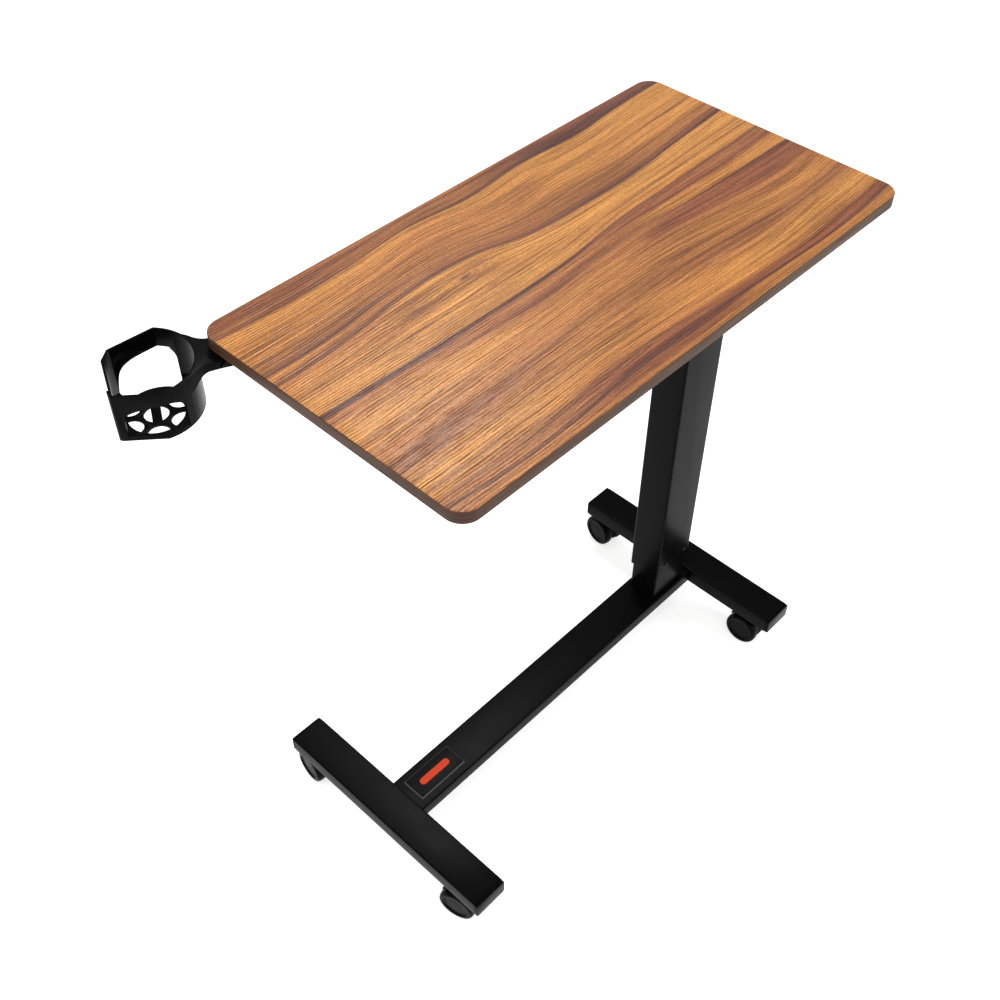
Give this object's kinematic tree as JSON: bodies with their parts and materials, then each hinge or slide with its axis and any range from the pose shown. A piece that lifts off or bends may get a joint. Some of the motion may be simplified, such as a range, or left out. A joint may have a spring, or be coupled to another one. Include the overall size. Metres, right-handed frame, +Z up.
{
  "type": "overbed table",
  "caption": "Height-adjustable overbed table: wood-look board on a telescopic column, H-shaped wheeled base and a swing-out cup holder.",
  "frame": {"origin": "on the floor, under the middle of the whole table's bounding box", "axes": "+X along the board towards the end that the column stands at, +Y across the board towards the side that the cup holder sits on, +Z up"},
  "size_m": [0.9257, 0.487, 0.942],
  "materials": {
    "wood_laminate": "satin wood-look laminate with an embossed grain",
    "black_powder_coat": "satin black powder coat",
    "black_plastic": "fine texture, semi-matte",
    "grey_glide_plastic": "natural acetal",
    "black_tread": "smooth tread",
    "zinc_steel": "zinc plated",
    "black_screw_steel": "black oxide",
    "polished_rod": "polished"
  },
  "bodies": {
    "base": {"spine_tube": "black_powder_coat", "front_crossbar": "black_powder_coat", "rear_crossbar": "black_powder_coat", "front_left_end_cap": "black_plastic", "front_right_end_cap": "black_plastic", "rear_left_end_cap": "black_plastic", "rear_right_end_cap": "black_plastic", "badge_plate": "black_plastic", "column_foot": "zinc_steel", "column_bolt_front": "black_screw_steel", "column_bolt_rear": "black_screw_steel", "inner_column": "black_powder_coat", "gas_spring_cylinder": "black_powder_coat", "gas_spring_anchor_pin": "zinc_steel", "upper_glide_bush": "grey_glide_plastic", "front_left_caster_stem": "zinc_steel", "front_right_caster_stem": "zinc_steel", "rear_left_caster_stem": "zinc_steel", "rear_right_caster_stem": "zinc_steel"},
    "lift": {"outer_column": "black_powder_coat", "lower_glide_liner": "grey_glide_plastic", "glide_screw_front": "black_screw_steel", "glide_screw_rear": "black_screw_steel", "column_head_plate": "black_powder_coat", "support_rail_left": "black_powder_coat", "support_rail_right": "black_powder_coat", "board_screw_front_left": "black_screw_steel", "board_screw_front_right": "black_screw_steel", "board_screw_rear_left": "black_screw_steel", "board_screw_rear_right": "black_screw_steel", "tabletop_board": "wood_laminate", "gas_spring_rod": "polished_rod", "rod_nut": "zinc_steel", "lever_bracket": "zinc_steel", "lever_pivot_pin": "zinc_steel", "cup_pivot_screw": "black_screw_steel"},
    "lever": {"release_lever": "zinc_steel", "release_grip": "black_plastic"},
    "pin": {"release_pin": "zinc_steel"},
    "cup_holder": {"cup_holder": "black_plastic"},
    "front_left_swivel": {"front_left_caster_hood": "black_plastic", "front_left_axle": "zinc_steel"},
    "front_left_inner_wheel": {"front_left_inner_wheel": "black_tread"},
    "front_left_outer_wheel": {"front_left_outer_wheel": "black_tread"},
    "front_left_brake": {"front_left_brake_tab": "black_plastic"},
    "front_right_swivel": {"front_right_caster_hood": "black_plastic", "front_right_axle": "zinc_steel"},
    "front_right_inner_wheel": {"front_right_inner_wheel": "black_tread"},
    "front_right_outer_wheel": {"front_right_outer_wheel": "black_tread"},
    "front_right_brake": {"front_right_brake_tab": "black_plastic"},
    "rear_left_swivel": {"rear_left_caster_hood": "black_plastic", "rear_left_axle": "zinc_steel"},
    "rear_left_inner_wheel": {"rear_left_inner_wheel": "black_tread"},
    "rear_left_outer_wheel": {"rear_left_outer_wheel": "black_tread"},
    "rear_left_brake": {"rear_left_brake_tab": "black_plastic"},
    "rear_right_swivel": {"rear_right_caster_hood": "black_plastic", "rear_right_axle": "zinc_steel"},
    "rear_right_inner_wheel": {"rear_right_inner_wheel": "black_tread"},
    "rear_right_outer_wheel": {"rear_right_outer_wheel": "black_tread"},
    "rear_right_brake": {"rear_right_brake_tab": "black_plastic"}
  },
  "joints": [
    {"name": "column_lift", "type": "slide", "parent": "base", "child": "lift", "axis": [0, 0, 1], "range_m": [0, 0.3]},
    {"name": "release_lever", "type": "hinge", "parent": "lift", "child": "lever", "pos_m": [0.36286, -0.03354, 0.915], "axis": [0, -1, 0], "range_deg": [0, 6], "stiffness_Nm_per_rad": 2, "springref_deg": -5.73},
    {"name": "release_pin", "type": "slide", "parent": "lift", "child": "pin", "axis": [0, 0, -1], "range_m": [0, 0.0018]},
    {"name": "cup_holder_swing", "type": "hinge", "parent": "lift", "child": "cup_holder", "pos_m": [-0.28314, 0.12346, 0.9175], "axis": [0, 0, 1], "range_deg": [-45, 145]},
    {"name": "front_left_swivel", "type": "hinge", "parent": "base", "child": "front_left_swivel", "pos_m": [-0.29714, 0.13546, 0.06], "axis": [0, 0, 1], "continuous": true},
    {"name": "front_left_inner_spin", "type": "hinge", "parent": "front_left_swivel", "child": "front_left_inner_wheel", "pos_m": [-0.29525, 0.15235, 0.03], "axis": [0.9938, -0.1115, 0], "continuous": true},
    {"name": "front_left_outer_spin", "type": "hinge", "parent": "front_left_swivel", "child": "front_left_outer_wheel", "pos_m": [-0.29525, 0.15235, 0.03], "axis": [0.9938, -0.1115, 0], "continuous": true},
    {"name": "front_left_brake", "type": "hinge", "parent": "front_left_swivel", "child": "front_left_brake", "pos_m": [-0.29742, 0.13298, 0.0435], "axis": [-0.9938, 0.1115, 0], "range_deg": [0, 12]},
    {"name": "front_right_swivel", "type": "hinge", "parent": "base", "child": "front_right_swivel", "pos_m": [-0.29714, -0.20254, 0.06], "axis": [0, 0, 1], "continuous": true},
    {"name": "front_right_inner_spin", "type": "hinge", "parent": "front_right_swivel", "child": "front_right_inner_wheel", "pos_m": [-0.30122, -0.18604, 0.03], "axis": [0.9707, 0.2402, 0], "continuous": true},
    {"name": "front_right_outer_spin", "type": "hinge", "parent": "front_right_swivel", "child": "front_right_outer_wheel", "pos_m": [-0.30122, -0.18604, 0.03], "axis": [0.9707, 0.2402, 0], "continuous": true},
    {"name": "front_right_brake", "type": "hinge", "parent": "front_right_swivel", "child": "front_right_brake", "pos_m": [-0.29654, -0.20497, 0.0435], "axis": [-0.9707, -0.2402, 0], "range_deg": [0, 12]},
    {"name": "rear_left_swivel", "type": "hinge", "parent": "base", "child": "rear_left_swivel", "pos_m": [0.42686, 0.13546, 0.06], "axis": [0, 0, 1], "continuous": true},
    {"name": "rear_left_inner_spin", "type": "hinge", "parent": "rear_left_swivel", "child": "rear_left_inner_wheel", "pos_m": [0.4294, 0.15227, 0.03], "axis": [0.9888, -0.1495, 0], "continuous": true},
    {"name": "rear_left_outer_spin", "type": "hinge", "parent": "rear_left_swivel", "child": "rear_left_outer_wheel", "pos_m": [0.4294, 0.15227, 0.03], "axis": [0.9888, -0.1495, 0], "continuous": true},
    {"name": "rear_left_brake", "type": "hinge", "parent": "rear_left_swivel", "child": "rear_left_brake", "pos_m": [0.42649, 0.13299, 0.0435], "axis": [-0.9888, 0.1495, 0], "range_deg": [0, 12]},
    {"name": "rear_right_swivel", "type": "hinge", "parent": "base", "child": "rear_right_swivel", "pos_m": [0.42686, -0.20254, 0.06], "axis": [0, 0, 1], "continuous": true},
    {"name": "rear_right_inner_spin", "type": "hinge", "parent": "rear_right_swivel", "child": "rear_right_inner_wheel", "pos_m": [0.42653, -0.18554, 0.03], "axis": [0.9998, 0.0192, 0], "continuous": true},
    {"name": "rear_right_outer_spin", "type": "hinge", "parent": "rear_right_swivel", "child": "rear_right_outer_wheel", "pos_m": [0.42653, -0.18554, 0.03], "axis": [0.9998, 0.0192, 0], "continuous": true},
    {"name": "rear_right_brake", "type": "hinge", "parent": "rear_right_swivel", "child": "rear_right_brake", "pos_m": [0.42691, -0.20504, 0.0435], "axis": [-0.9998, -0.0192, 0], "range_deg": [0, 12]}
  ],
  "couplings": [
    {"joint": "release_pin", "follows": "release_lever", "m_per_rad": 0.0171}
  ]
}
